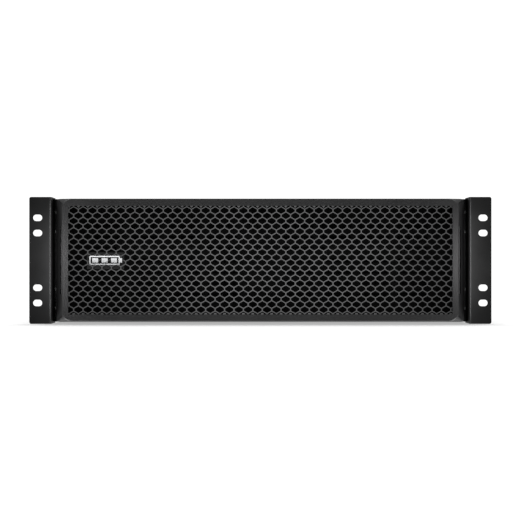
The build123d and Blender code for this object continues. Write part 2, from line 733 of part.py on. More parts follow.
def cell_outline(x, z):
    """One flattened hexagonal opening, centred on x and z."""
    half_width = (CELL_PITCH - UPRIGHT_WEB) / 2
    rise = CELL_PITCH / 2 * WEB_SLOPE
    upright = (ROW_PITCH - rise) / 2
    apex = upright + rise - SLANTED_WEB / 2 * math.hypot(1, WEB_SLOPE)
    shoulder = apex - half_width * WEB_SLOPE
    corners = [(0, apex), (half_width, shoulder), (half_width, -shoulder)]
    corners += [(-u, -w) for u, w in corners]
    return [(x + u, z + w) for u, w in corners]


def row_height(row):
    """Height of a row of cells, counted from the top full row."""
    return WINDOW_CENTRE_Z + ((ROW_COUNT - 1) / 2 - row) * ROW_PITCH


def cell_columns(row):
    """Cell centres along one row: odd rows lie half a pitch over."""
    shift = CELL_PITCH / 2 if row % 2 else 0.0
    return [FIRST_CELL_X + shift + CELL_PITCH * index for index in range(-21, 21)]


def grille():
    """Perforated honeycomb panel that fills the window from behind the lip."""
    front = BEZEL_FRONT + LIP + GRILLE_GAP
    half_width = CAVITY_HALF_WIDTH - 0.3
    top = CAVITY_TOP - 0.3
    bottom = CAVITY_BOTTOM + 0.3
    plane = facing_y(0, front + GRILLE_SHEET, 0)
    corners = [(-half_width, bottom), (half_width, bottom), (half_width, top), (-half_width, top)]
    side_limit = half_width - 1.2
    border = [(0, side_limit, 1), (0, -side_limit, -1), (1, top - 2.2, 1), (1, bottom + 2.2, -1)]
    openings = []
    for row in range(-1, ROW_COUNT + 1):
        for x in cell_columns(row):
            points = cell_outline(x, row_height(row))
            for axis, limit, sign in border:
                points = clip_outline(points, axis, limit, sign)
            if len(points) < 3:
                continue
            widths = [point[0] for point in points]
            if max(widths) - min(widths) > 1.0:
                openings.append(Wire.make_polygon([(u, w, 0) for u, w in points], close=True))
    panel = Face(Wire.make_polygon([(u, w, 0) for u, w in corners], close=True), openings)
    return extrude(plane * panel, amount=GRILLE_SHEET)


def grille_retainers():
    """Two strips behind the grille whose teeth stand in its half cells at top and bottom."""
    back_of_grille = BEZEL_FRONT + LIP + GRILLE_GAP + GRILLE_SHEET
    strips = []
    edges = (
        (-1, WINDOW_CENTRE_Z + WINDOW_HALF_HEIGHT + 0.5, CAVITY_TOP - 0.2, TOP_TOOTH),
        (ROW_COUNT, WINDOW_CENTRE_Z - WINDOW_HALF_HEIGHT - 0.5, CAVITY_BOTTOM + 0.2, BOTTOM_TOOTH),
    )
    for row, edge, outer_edge, (root, tip, length) in edges:
        low, high = sorted((edge, outer_edge))
        strip = slab(0.2 - CAVITY_HALF_WIDTH, CAVITY_HALF_WIDTH - 0.2, back_of_grille, 2, low, high)
        teeth = []
        for x in cell_columns(row):
            if abs(x) > WINDOW_HALF_WIDTH:
                continue
            end = edge + length
            points = [(x - root, edge), (x + root, edge), (x + tip, end), (x - tip, end)]
            points = clip_outline(points, 0, 1.7 - CAVITY_HALF_WIDTH, -1)
            teeth.append(outline(facing_y(0, 2, 0), points, 2 - back_of_grille + GRILLE_SHEET - 0.2))
        strips.append(strip + teeth)
    return strips


# ---------------------------------------------------------------- badge
BADGE_LEFT = -178.3
BADGE_RIGHT = -146.6
BADGE_TIP = 2.4
BADGE_HALF_HEIGHT = 4.7
BADGE_WALL = 1.3
BADGE_SHEET = 1.6
BAR_HALF_WIDTH = 3.1
BAR_HALF_HEIGHT = 2.3
PEG_X = FIRST_CELL_X - 16.5 * CELL_PITCH
PEG_Z = 1.4
BADGE_BACK = BEZEL_FRONT + LIP + GRILLE_GAP - 0.1
BADGE_PLATE_Y = BEZEL_FRONT + LIP + GRILLE_GAP + GRILLE_SHEET + 0.1
BADGE_PLATE_SHEET = 1.2


def badge_plate():
    """Backing plate behind the grille that the symbol's pegs are fixed to."""
    back = BADGE_PLATE_Y + BADGE_PLATE_SHEET
    low, high = -9.3, 8.3
    right = BADGE_RIGHT + BADGE_TIP + 2.0
    return slab(BADGE_LEFT - 2.8, right, BADGE_PLATE_Y, back, low, high)


def badge_symbol():
    """Battery symbol in front of the grille: a case outline with a tip, and three bars."""
    back = BADGE_BACK
    front = back - BADGE_SHEET
    wall = BADGE_WALL
    high = BADGE_HALF_HEIGHT
    case = slab(BADGE_LEFT, BADGE_RIGHT, front, back, -high, high)
    case = fillet(case.edges().filter_by(Axis.Y), wall)
    case -= slab(BADGE_LEFT + wall, BADGE_RIGHT - wall, front - 1, back + 1, wall - high, high - wall)
    tip = BADGE_RIGHT + BADGE_TIP
    case += slab(BADGE_RIGHT, tip, front, back, -BAR_HALF_HEIGHT, BAR_HALF_HEIGHT)
    for x in (BADGE_LEFT + wall / 2, BADGE_RIGHT - wall / 2):
        case += rod_y(x, row_height(10), 0.6, back, BADGE_PLATE_Y)
    pieces = [case]
    for step in (-1, 0, 1):
        x = (BADGE_LEFT + BADGE_RIGHT) / 2 + step * CELL_PITCH
        sides = (x - BAR_HALF_WIDTH, x + BAR_HALF_WIDTH)
        bar = slab(*sides, front, back, -BAR_HALF_HEIGHT, BAR_HALF_HEIGHT)
        pieces.append(bar + rod_y(PEG_X + step * CELL_PITCH, PEG_Z, 0.8, back, BADGE_PLATE_Y))
    return pieces


# ---------------------------------------------------------------- battery modules, right-hand
def block_places():
    """Centre of every battery block, by column and row."""
    rows = [BLOCK_FIRST_Y + BLOCK_PITCH * row for row in range(BLOCK_ROWS)]
    return [(x, y) for x in BLOCK_COLUMNS for y in rows]


BLOCK_BOTTOM = MODULE_FLOOR + TRAY_SHEET + 0.2
BLOCK_TOP = BLOCK_BOTTOM + BLOCK_SIZE[2]
TERMINAL_TOP = BLOCK_TOP + TERMINAL_RISE


def module_tray():
    """Folded tray with a taller front wall."""
    low_wall = 20.0
    tray = slab(MODULE_INNER, MODULE_OUTER, MODULE_FRONT, MODULE_BACK, MODULE_FLOOR, low_wall)
    sheet = TRAY_SHEET
    tray -= slab(
        MODULE_INNER + sheet,
        MODULE_OUTER - sheet,
        MODULE_FRONT + sheet,
        MODULE_BACK - sheet,
        MODULE_FLOOR + sheet,
        low_wall + 1,
    )
    tray += slab(MODULE_INNER, MODULE_OUTER, MODULE_FRONT, MODULE_FRONT + sheet, low_wall, 50)
    tray -= slab(PLUG_X - 15, PLUG_X + 15, MODULE_BACK - 2, MODULE_BACK + 1, PLUG_Z - 6, PLUG_Z + 6)
    for x in HANDLE_SCREW_X:
        tray -= rod_y(x, HANDLE_Z, 2.1, MODULE_FRONT - 1, MODULE_FRONT + 2)
    return tray


def battery_blocks():
    """Sixteen sealed lead-acid blocks, each with a stepped lid."""
    width, depth, height = BLOCK_SIZE
    case = Pos(0, 0, height / 2 - 4) * Box(width, depth, height - 8)
    case = fillet(case.edges().filter_by(Axis.Z), 1.5)
    lid = Pos(0, 0, height - 4) * Box(width - 1.2, depth - 1.2, 8)
    lid = fillet(lid.edges().filter_by(Axis.Z), 1.5)
    lid = chamfer(lid.edges().group_by(Axis.Z)[-1], 0.8)
    block = case + lid
    return [Pos(x, y, BLOCK_BOTTOM) * block for x, y in block_places()]


def battery_terminals():
    """Two flat terminals on every block."""
    places = [(x + end * TERMINAL_X, y + TERMINAL_Y) for x, y in block_places() for end in SIDES]
    terminals = []
    for x, y in places:
        foot = slab(x - 4, x + 4, y - 3, y + 3, BLOCK_TOP, BLOCK_TOP + 1)
        terminals.append(foot + slab(x - 3.2, x + 3.2, y - 0.4, y + 0.4, BLOCK_TOP + 1, TERMINAL_TOP))
    return terminals


def cell_links():
    """Straps that join the blocks in one string, down one column and back up the other."""
    links = []
    top = TERMINAL_TOP + 1.0
    for column, x in enumerate(BLOCK_COLUMNS):
        for row in range(BLOCK_ROWS - 1):
            outward = 1 if (row + column) % 2 else -1
            side_x = x + outward * TERMINAL_X
            start = BLOCK_FIRST_Y + BLOCK_PITCH * row + TERMINAL_Y
            link = slab(side_x - 4, side_x + 4, start - 3, start + BLOCK_PITCH + 3, TERMINAL_TOP, top)
            links.append(link)
    cross_y = BLOCK_FIRST_Y + BLOCK_PITCH * (BLOCK_ROWS - 1) + TERMINAL_Y
    near = BLOCK_COLUMNS[0] + TERMINAL_X - 4
    far = BLOCK_COLUMNS[1] - TERMINAL_X + 4
    links.append(slab(near, far, cross_y - 4, cross_y + 4, TERMINAL_TOP, top))
    return links


def hold_down_straps():
    """Three steel straps over the blocks, hooked down inside the tray's side walls."""
    straps = []
    leg = 0.7
    inner = MODULE_INNER + TRAY_SHEET + 0.1
    outer = MODULE_OUTER - TRAY_SHEET - 0.1
    for row in (1, 4, 6):
        y = BLOCK_FIRST_Y + BLOCK_PITCH * row + 14
        strap = slab(inner, outer, y - 9, y + 9, BLOCK_TOP + 0.1, BLOCK_TOP + 1.3)
        for low in (inner, outer - leg):
            strap += slab(low, low + leg, y - 9, y + 9, -10, BLOCK_TOP + 0.1)
        straps.append(strap)
    return straps


def module_handle():
    """Moulded pull handle on the tray's front wall, with pilot holes for its screws."""
    front = 29.5
    grip = slab(PLUG_X - 45, PLUG_X + 45, front, MODULE_FRONT, HANDLE_Z - 7, HANDLE_Z + 7)
    grip = fillet(grip.edges().filter_by(Axis.Z).group_by(Axis.Y)[0], 5.0)
    grip -= slab(PLUG_X - 30, PLUG_X + 30, front + 4.5, MODULE_FRONT + 1, HANDLE_Z - 8, HANDLE_Z + 8)
    for x in HANDLE_SCREW_X:
        grip -= rod_y(x, HANDLE_Z, 2.0, MODULE_FRONT - 5.3, MODULE_FRONT + 1)
    return grip


def handle_screws():
    """Two screws that hold the handle from inside the tray."""
    screw = pan_screw(3.4, 1.1, 2.0, 6.0)
    face = MODULE_FRONT + TRAY_SHEET
    return [placed(screw, (x, face, HANDLE_Z), (0, 1, 0)) for x in HANDLE_SCREW_X]


def module_leads():
    """Two leads from the front terminals, over the blocks and down to the plug."""
    leads = []
    y = BLOCK_FIRST_Y + TERMINAL_Y
    high = TERMINAL_TOP + 4.6
    back = 614.0
    for sign, terminal_x in ((-1, BLOCK_COLUMNS[0] + TERMINAL_X), (1, BLOCK_COLUMNS[1] - TERMINAL_X)):
        lane = PLUG_X + sign * 5
        points = (
            (terminal_x, y, TERMINAL_TOP),
            (terminal_x, y, high),
            (lane, y + 14, high),
            (lane, back, high),
            (lane, back, PLUG_Z + 8),
        )
        leads.append(wire_lead(points, LEAD_RADIUS, 4.2))
    return leads


# ---------------------------------------------------------------- write every node
def save_pair(name, pieces):
    """Write a right-hand node and its mirror image on the left."""
    save(f"{name}_right", *pieces)
    save(f"{name}_left", *[mirrored(piece) for piece in pieces])


def main():
    os.makedirs("parts", exist_ok=True)
    save_pair("rack_ear", [rack_ear()])
    save("ear_screws", *ear_screws())
    save("base_pan", base_pan())
    save("top_cover", top_cover())
    save("top_cover_screws", *top_cover_screws())
    save("rear_panel", rear_panel())
    save("rear_panel_screws", *rear_panel_screws())
    save("centre_divider", centre_divider())
    save("bay_runners", *bay_runners())
    save("side_guides", *side_guides())
    save("bulkhead", bulkhead())
    save("insulation_sheet", insulation_sheet())
    save("dock_socket_left", dock_socket(-1))
    save("dock_socket_right", dock_socket(1))
    contacts = [side * PLUG_X + blade * 10 for side in SIDES for blade in SIDES]
    save("dock_contacts", *[dock_contact(x) for x in contacts])
    save("monitor_board", monitor_board())
    save("board_standoffs", *board_standoffs())
    save("board_parts", *board_parts())
    save("signal_cable", signal_cable())
    save("comm_ports", comm_ports())
    save("dc_connector_left", dc_connector(-1))
    save("dc_connector_right", dc_connector(1))
    contacts = [side * CONNECTOR_X + blade * CONTACT_X for side in SIDES for blade in SIDES]
    save("dc_contacts", *[dc_contact(x) for x in contacts])
    save("breaker_body", breaker_body())
    save("breaker_lever", breaker_lever())
    leads = positive_leads()
    save("positive_leads", *leads, *[mirrored(lead) for lead in leads])
    lead = negative_lead()
    save("negative_leads", lead, mirrored(lead))
    save("ground_stud", ground_stud())
    save("ground_nut", ground_nut())
    save("rating_plate", rating_plate())
    save("battery_door", battery_door())
    save("bezel_ball_studs", *bezel_ball_studs())
    save("thumbscrew_upper", thumbscrew(THUMBSCREW_Z))
    save("thumbscrew_lower", thumbscrew(-THUMBSCREW_Z))
    save("bezel_frame", bezel_frame())
    save("bezel_clips", *bezel_clips())
    save("grille", grille())
    save("grille_retainers", *grille_retainers())
    save("badge_plate", badge_plate())
    save("badge_symbol", *badge_symbol())
    save_pair("module_tray", [module_tray()])
    save_pair("battery_blocks", battery_blocks())
    save_pair("battery_terminals", battery_terminals())
    save_pair("cell_links", cell_links())
    save_pair("hold_down_straps", hold_down_straps())
    save_pair("module_handle", [module_handle()])
    save_pair("handle_screws", handle_screws())
    save_pair("module_leads", module_leads())
    save_pair("dock_plug", [dock_plug()])


main()
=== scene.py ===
"""Looks for the server rack battery: finished meshes, materials, stage, lights and camera."""

import json
import math

import bmesh
import bpy
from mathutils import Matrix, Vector


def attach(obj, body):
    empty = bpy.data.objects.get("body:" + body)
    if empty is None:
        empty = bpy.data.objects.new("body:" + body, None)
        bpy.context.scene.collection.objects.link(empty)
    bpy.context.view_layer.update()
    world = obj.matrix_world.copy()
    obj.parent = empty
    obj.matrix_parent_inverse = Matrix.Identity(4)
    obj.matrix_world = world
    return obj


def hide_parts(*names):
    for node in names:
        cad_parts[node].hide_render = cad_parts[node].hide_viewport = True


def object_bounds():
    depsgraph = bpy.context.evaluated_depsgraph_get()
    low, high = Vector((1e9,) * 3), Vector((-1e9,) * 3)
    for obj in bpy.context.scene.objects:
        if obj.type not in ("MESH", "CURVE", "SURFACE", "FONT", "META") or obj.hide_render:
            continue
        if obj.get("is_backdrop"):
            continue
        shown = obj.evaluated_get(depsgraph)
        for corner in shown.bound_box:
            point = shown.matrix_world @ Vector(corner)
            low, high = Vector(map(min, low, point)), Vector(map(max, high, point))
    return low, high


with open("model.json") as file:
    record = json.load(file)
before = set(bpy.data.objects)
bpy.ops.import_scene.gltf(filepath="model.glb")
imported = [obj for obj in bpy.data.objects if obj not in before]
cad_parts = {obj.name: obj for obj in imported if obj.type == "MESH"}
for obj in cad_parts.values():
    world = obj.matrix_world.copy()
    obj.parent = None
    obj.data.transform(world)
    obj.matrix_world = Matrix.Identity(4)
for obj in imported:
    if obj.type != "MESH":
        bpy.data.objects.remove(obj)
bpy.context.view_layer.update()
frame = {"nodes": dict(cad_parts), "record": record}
NODES = frame["nodes"]
BODY_OF = {node: body for body, nodes in frame["record"]["behaviour"]["bodies"].items() for node in nodes}
SLOT_OF = {part["node"]: part["material_slot"] for part in frame["record"]["subparts"]}
MM = 0.001
SIDES = ((-1, "left"), (1, "right"))

# The view: a long lens, far off, level and square to the front
CAMERA_DISTANCE = 3.0
CAMERA_OFFSET = (-0.00036, 0.0004)
CAMERA_LENS = 198.8
CAMERA_FAR_END = 100.0
SENSOR = 36.0

# Depth bands of painted shade, on the bezel's recessed flange, the chassis's front edge and the sides of
# the grille's webs: where the fade starts, where it ends, and the share of the tone that is left past it
GRILLE_FRONT = min(vertex.co.y for vertex in NODES["grille"].data.vertices)
FLANGE_SHADE_BAND = (18.1 * MM, 18.8 * MM, 0.15)
CHASSIS_EDGE_SHADE_BAND = (26.8 * MM, 28.0 * MM, 0.1)
WEB_SIDE_SHADE_BAND = (GRILLE_FRONT + 0.04 * MM, GRILLE_FRONT + 0.22 * MM, 0.06)


# ---------------------------------------------------------------- node trees
class Graph:
    """A material's node tree, with short calls to add and join nodes."""

    def __init__(self, name):
        self.material = bpy.data.materials.new(name)
        self.material.use_nodes = True
        self.tree = self.material.node_tree
        self.tree.nodes.clear()
        self.shader = self.add("ShaderNodeBsdfPrincipled")
        output = self.add("ShaderNodeOutputMaterial")
        self.join(self.shader, "BSDF", output, "Surface")
        self.place = self.add("ShaderNodeTexCoord")

    def add(self, kind, **settings):
        """A new node with its settings."""
        node = self.tree.nodes.new(kind)
        for key, value in settings.items():
            setattr(node, key, value)
        return node

    def join(self, source, out, target, into):
        """Links an output to an input."""
        self.tree.links.new(source.outputs[out], target.inputs[into])

    def set(self, **values):
        """Sets the shader's own inputs."""
        for name, value in values.items():
            self.shader.inputs[name.replace("_", " ")].default_value = value

    def noise(self, scale, detail=3.0, stretch=(1, 1, 1), roughness=0.5):
        """Noise in the object's own space, with its scale per metre."""
        mapping = self.add("ShaderNodeMapping")
        mapping.inputs["Scale"].default_value = stretch
        self.join(self.place, "Object", mapping, "Vector")
        texture = self.add("ShaderNodeTexNoise")
        texture.inputs["Scale"].default_value = scale
        texture.inputs["Detail"].default_value = detail
        texture.inputs["Roughness"].default_value = roughness
        self.join(mapping, "Vector", texture, "Vector")
        return texture

    def spread(self, source, out, low, high, start=0.3, end=0.7):
        """Maps start to end onto low to high, and holds both ends."""
        node = self.add("ShaderNodeMapRange")
        for name, value in (("From Min", start), ("From Max", end), ("To Min", low), ("To Max", high)):
            node.inputs[name].default_value = value
        self.join(source, out, node, "Value")
        return node

    def ramp(self, source, out, stops):
        """A colour ramp from a list of (place, colour)."""
        node = self.add("ShaderNodeValToRGB")
        fill_ramp(node.color_ramp, stops)
        self.join(source, out, node, "Fac")
        return node

    def mix(self, factor, first, second):
        """Mixes two colours, each a (node, output) pair or a plain colour, by a (node, output) factor."""
        node = self.add("ShaderNodeMix", data_type="RGBA")
        self.join(factor[0], factor[1], node, 0)
        for index, source in ((6, first), (7, second)):
            if isinstance(source[0], float):
                node.inputs[index].default_value = (*source, 1.0)
            else:
                self.join(source[0], source[1], node, index)
        return node

    def worn_edges(self, radius, gain, break_up):
        """Bright where an edge is near, from how far the rounded normal turns, broken up by a texture."""
        bevel = self.add("ShaderNodeBevel", samples=4)
        bevel.inputs["Radius"].default_value = radius
        geometry = self.add("ShaderNodeNewGeometry")
        dot = self.add("ShaderNodeVectorMath", operation="DOT_PRODUCT")
        self.join(bevel, "Normal", dot, 0)
        self.join(geometry, "Normal", dot, 1)
        turn = self.add("ShaderNodeMath", operation="SUBTRACT")
        turn.inputs[0].default_value = 1.0
        self.join(dot, "Value", turn, 1)
        mask = self.add("ShaderNodeMath", operation="MULTIPLY", use_clamp=True)
        mask.inputs[1].default_value = gain
        self.join(turn, "Value", mask, 0)
        broken = self.add("ShaderNodeMath", operation="MULTIPLY")
        self.join(mask, "Value", broken, 0)
        self.join(break_up, "Result", broken, 1)
        return broken

    def paint_shade(self, mixed, colour, specular, band, behind=True):
        """Paints shade: takes colour and shine down behind a depth band, or in front of it."""
        start, end, share = band
        split = self.add("ShaderNodeSeparateXYZ")
        self.join(self.place, "Object", split, "Vector")
        low, high = (0.0, 1.0) if behind else (1.0, 0.0)
        depth = self.spread(split, "Y", low, high, start, end)
        shine = self.spread(depth, "Result", specular, specular * share, 0.0, 1.0)
        self.join(shine, "Result", self.shader, "Specular IOR Level")
        return self.mix((depth, "Result"), (mixed, "Result"), shade(colour, share))

    def roughen(self, source, out, low, high):
        """Drives the shader's roughness from a texture."""
        self.join(self.spread(source, out, low, high), "Result", self.shader, "Roughness")

    def bump(self, sources):
        """Stacked bumps from (node, output, strength, distance)."""
        previous = None
        for node, out, strength, distance in sources:
            bump = self.add("ShaderNodeBump")
            bump.inputs["Strength"].default_value = strength
            bump.inputs["Distance"].default_value = distance
            self.join(node, out, bump, "Height")
            if previous is not None:
                self.join(previous, "Normal", bump, "Normal")
            previous = bump
        self.join(previous, "Normal", self.shader, "Normal")


def fill_ramp(ramp, stops):
    """Sets a colour ramp's stops from a list of (place, colour)."""
    while len(ramp.elements) < len(stops):
        ramp.elements.new(0.5)
    for element, (place, colour) in zip(ramp.elements, stops):
        element.position = place
        element.color = (*colour, 1.0)


def shade(colour, factor):
    """A colour made lighter or darker."""
    return tuple(min(1.0, channel * factor) for channel in colour)


# ---------------------------------------------------------------- materials
def moulded_plastic(name, colour, roughness=0.5, wear=1.8, specular=0.5, painted_shade_band=None):
    """Spark-textured moulding: fine even grain, slow drift of tone, rubbed edges, and painted shade past a
    depth band when one is given.
    """
    graph = Graph(name)
    drift = graph.noise(scale=14.0, detail=4.0)
    tone = graph.ramp(drift, "Fac", [(0.3, shade(colour, 0.86)), (0.7, shade(colour, 1.14))])
    scuff = graph.noise(scale=900.0, detail=5.0)
    scuffed = graph.spread(scuff, "Fac", 0.0, 0.7, start=0.4, end=0.65)
    edges = graph.worn_edges(radius=0.7 * MM, gain=2.2, break_up=scuffed)
    mixed = graph.mix((edges, "Value"), (tone, "Color"), shade(colour, wear))
    graph.set(Specular_IOR_Level=specular)
    # Painted shade: colour and shine fade down behind the depth band
    if painted_shade_band:
        mixed = graph.paint_shade(mixed, colour, specular, painted_shade_band)
    graph.join(mixed, "Result", graph.shader, "Base Color")
    smudge = graph.noise(scale=38.0, detail=6.0, roughness=0.6)
    graph.roughen(smudge, "Fac", roughness - 0.05, roughness + 0.06)
    grain = graph.noise(scale=2600.0, detail=2.0)
    graph.bump([(grain, "Fac", 0.5, 0.05 * MM)])
    return graph.material


def powder_coat(name, colour, roughness=0.45, specular=0.5, painted_shade_front=None):
    """Baked powder paint: orange-peel skin, a fine sparkle of tone and paint worn thin on the edges."""
    graph = Graph(name)
    drift = graph.noise(scale=9.0, detail=5.0)
    tone = graph.ramp(drift, "Fac", [(0.3, shade(colour, 0.88)), (0.7, shade(colour, 1.12))])
    speck = graph.noise(scale=3200.0, detail=2.0)
    sparkle = graph.spread(speck, "Fac", 0.0, 0.6, start=0.45, end=0.75)
    fine = graph.mix((sparkle, "Result"), (tone, "Color"), shade(colour, 1.5))
    chip = graph.noise(scale=700.0, detail=6.0)
    chipped = graph.spread(chip, "Fac", 0.0, 0.8, start=0.45, end=0.7)
    edges = graph.worn_edges(radius=0.6 * MM, gain=1.8, break_up=chipped)
    mixed = graph.mix((edges, "Value"), (fine, "Result"), shade(colour, 2.0))
    graph.set(Specular_IOR_Level=specular)
    # Painted shade: colour and shine fade down in front of the depth band, on the chassis's front edge
    if painted_shade_front:
        mixed = graph.paint_shade(mixed, colour, specular, painted_shade_front, behind=False)
    graph.join(mixed, "Result", graph.shader, "Base Color")
    haze = graph.noise(scale=30.0, detail=5.0, roughness=0.6)
    graph.roughen(haze, "Fac", roughness - 0.06, roughness + 0.07)
    skin = graph.noise(scale=900.0, detail=3.0)
    graph.bump([(skin, "Fac", 0.45, 0.06 * MM)])
    return graph.material


def zinc_plate(name, colour, roughness):
    """Zinc-plated steel sheet: rolling lines, cloudy spangle and faint stains."""
    graph = Graph(name)
    cells = graph.add("ShaderNodeTexVoronoi")
    cells.inputs["Scale"].default_value = 110.0
    graph.join(graph.place, "Object", cells, "Vector")
    spangle = graph.ramp(cells, "Color", [(0.2, shade(colour, 0.85)), (0.8, shade(colour, 1.1))])
    cloud = graph.noise(scale=26.0, detail=6.0)
    stain = graph.spread(cloud, "Fac", 0.0, 0.5)
    mixed = graph.mix((stain, "Result"), (spangle, "Color"), shade(colour, 0.72))
    graph.join(mixed, "Result", graph.shader, "Base Color")
    lines = graph.noise(scale=60.0, detail=4.0, stretch=(1, 30, 30))
    graph.roughen(lines, "Fac", roughness - 0.1, roughness + 0.12)
    graph.bump([(lines, "Fac", 0.15, 0.04 * MM), (cloud, "Fac", 0.1, 0.2 * MM)])
    graph.set(Metallic=1.0)
    return graph.material


def turned_metal(name, colour, roughness, stain=0.75):
    """Small machined or plated metal parts: fine tool lines and tarnish."""
    graph = Graph(name)
    cloud = graph.noise(scale=240.0, detail=6.0)
    tone = graph.ramp(cloud, "Fac", [(0.35, shade(colour, stain)), (0.65, colour)])
    graph.join(tone, "Color", graph.shader, "Base Color")
    lines = graph.noise(scale=500.0, detail=2.0, stretch=(1, 12, 1))
    graph.roughen(lines, "Fac", roughness - 0.08, roughness + 0.1)
    graph.bump([(lines, "Fac", 0.2, 0.03 * MM)])
    graph.set(Metallic=1.0)
    return graph.material


def circuit_laminate(name, mask, mask_dark, track):
    """Solder mask over faint copper tracks."""
    graph = Graph(name)
    tracks = graph.add("ShaderNodeTexBrick")
    for key, value in (("Scale", 160.0), ("Mortar Size", 0.03), ("Brick Width", 1.7), ("Row Height", 0.35)):
        tracks.inputs[key].default_value = value
    for key, colour in (("Color1", mask_dark), ("Color2", mask), ("Mortar", track)):
        tracks.inputs[key].default_value = (*colour, 1)
    turned = graph.add("ShaderNodeMapping")
    turned.inputs["Rotation"].default_value = (math.radians(90), 0, 0)
    graph.join(graph.place, "Object", turned, "Vector")
    graph.join(turned, "Vector", tracks, "Vector")
    graph.join(tracks, "Color", graph.shader, "Base Color")
    weave = graph.noise(scale=1500.0, detail=2.0)
    graph.roughen(weave, "Fac", 0.2, 0.34)
    graph.bump([(tracks, "Fac", 0.3, 0.05 * MM)])
    return graph.material


def lead_insulation(name, colour):
    """Soft extruded insulation with a dusty bloom."""
    graph = Graph(name)
    bloom = graph.noise(scale=120.0, detail=5.0)
    tone = graph.ramp(bloom, "Fac", [(0.35, colour), (0.75, shade(colour, 1.5))])
    graph.join(tone, "Color", graph.shader, "Base Color")
    graph.roughen(bloom, "Fac", 0.42, 0.6)
    ripple = graph.noise(scale=700.0, detail=2.0)
    graph.bump([(ripple, "Fac", 0.25, 0.04 * MM)])
    return graph.material


def insulating_film(name, dark, light):
    """Matt fibre film with long faint fibres."""
    graph = Graph(name)
    fibre = graph.noise(scale=90.0, detail=8.0, stretch=(1, 6, 1), roughness=0.7)
    tone = graph.ramp(fibre, "Fac", [(0.3, dark), (0.7, light)])
    graph.join(tone, "Color", graph.shader, "Base Color")
    graph.set(Roughness=0.7)
    graph.bump([(fibre, "Fac", 0.3, 0.1 * MM)])
    return graph.material


# Each look by the name of its slot, or of the pieces that differ from the rest of their slot
LOOKS = {
    powder_coat: {
        # The chassis paint carries painted shade on its front edge
        "chassis_paint": dict(colour=(0.009, 0.009, 0.0094), specular=0.35, painted_shade_front=CHASSIS_EDGE_SHADE_BAND),
        # The door's paint is darker and duller than the chassis paint: part of it is the door's own matt
        # black, part is painted shade for the door seen behind the grille
        "door_paint": dict(colour=(0.004, 0.004, 0.004), roughness=0.75, specular=0.15),
        "ear_paint": dict(colour=(0.004, 0.004, 0.0041), roughness=0.48, specular=0.22),
    },
    zinc_plate: {
        "zinc_steel": dict(colour=(0.6, 0.61, 0.62), roughness=0.38),
    },
    turned_metal: {
        "black_screws": dict(colour=(0.05, 0.05, 0.052), roughness=0.35),
        "copper_contacts": dict(colour=(0.78, 0.46, 0.3), roughness=0.28),
        "port_shield": dict(colour=(0.66, 0.66, 0.64), roughness=0.25),
        "rating_foil": dict(colour=(0.62, 0.62, 0.6), roughness=0.45, stain=0.9),
        "badge_silver": dict(colour=(0.78, 0.79, 0.8), roughness=0.24, stain=0.93),
    },
    moulded_plastic: {
        "runner_nylon": dict(colour=(0.62, 0.6, 0.54), roughness=0.45, wear=1.1),
        "connector_plastic": dict(colour=(0.022, 0.022, 0.024), roughness=0.48),
        "board_components": dict(colour=(0.03, 0.03, 0.032), roughness=0.4),
        "breaker_lever_plastic": dict(colour=(0.02, 0.02, 0.02), roughness=0.35),
        "handle_plastic": dict(colour=(0.02, 0.02, 0.021)),
        "block_plastic": dict(colour=(0.045, 0.048, 0.052)),
        # The bezel carries painted shade on its recessed flange
        "bezel_plastic": dict(
            colour=(0.0112, 0.0112, 0.0115), roughness=0.46, specular=0.2, painted_shade_band=FLANGE_SHADE_BAND
        ),
        # The inner plastic is near black: part of it is the clips' own black, part is painted shade, so
        # that they sink into the shade behind the grille
        "bezel_inner_plastic": dict(colour=(0.003, 0.003, 0.003), roughness=0.7, specular=0.1),
        # The grille carries painted shade on the sides of its webs, so the lit web faces read narrow
        "grille_plastic": dict(
            colour=(0.092, 0.092, 0.0935), roughness=0.42, wear=1.0, specular=0.4, painted_shade_band=WEB_SIDE_SHADE_BAND
        ),
        "plate_plastic": dict(colour=(0.02, 0.02, 0.02), roughness=0.55),
        "tooth_plastic": dict(colour=(0.088, 0.088, 0.0895), roughness=0.42, wear=1.2),
        "knob_plastic": dict(colour=(0.0035, 0.0035, 0.0036), roughness=0.7, specular=0.12),
    },
    circuit_laminate: {
        "board_laminate": dict(
            mask=(0.014, 0.15, 0.06), mask_dark=(0.012, 0.13, 0.05), track=(0.03, 0.26, 0.11)
        ),
    },
    lead_insulation: {
        "red_lead": dict(colour=(0.36, 0.012, 0.012)),
        "black_lead": dict(colour=(0.016, 0.016, 0.017)),
    },
    insulating_film: {
        "insulation_film": dict(dark=(0.52, 0.49, 0.4), light=(0.68, 0.65, 0.55)),
    },
}
MATERIALS = {name: make(name, **look) for make, looks in LOOKS.items() for name, look in looks.items()}
LOOK_OF = {
    "badge_plate": "plate_plastic",
    "grille_retainers": "tooth_plastic",
    "thumbscrew_upper": "knob_plastic",
    "thumbscrew_lower": "knob_plastic",
}


# ---------------------------------------------------------------- meshes
# How wide each piece's edges are rounded, in millimetres
EDGE_WIDTH = 0.25
EDGE_WIDTHS = {
    "bezel_frame": 0.4,
    "grille": 0.28,
    "grille_retainers": 0.12,
    "rack_ear_left": 0.12,
    "rack_ear_right": 0.12,
    "badge_symbol": 0.45,
    "thumbscrew_upper": 0.2,
    "thumbscrew_lower": 0.2,
    "battery_blocks_left": 0.6,
    "battery_blocks_right": 0.6,
    "module_handle_left": 0.8,
    "module_handle_right": 0.8,
    "rating_plate": 0.1,
    "insulation_sheet": 0.1,
}
EDGE_SEGMENTS = 2
SHARP_ANGLE = math.radians(28)
FLAT_ANGLE = math.radians(0.5)
WELD_DISTANCE = 0.002 * MM


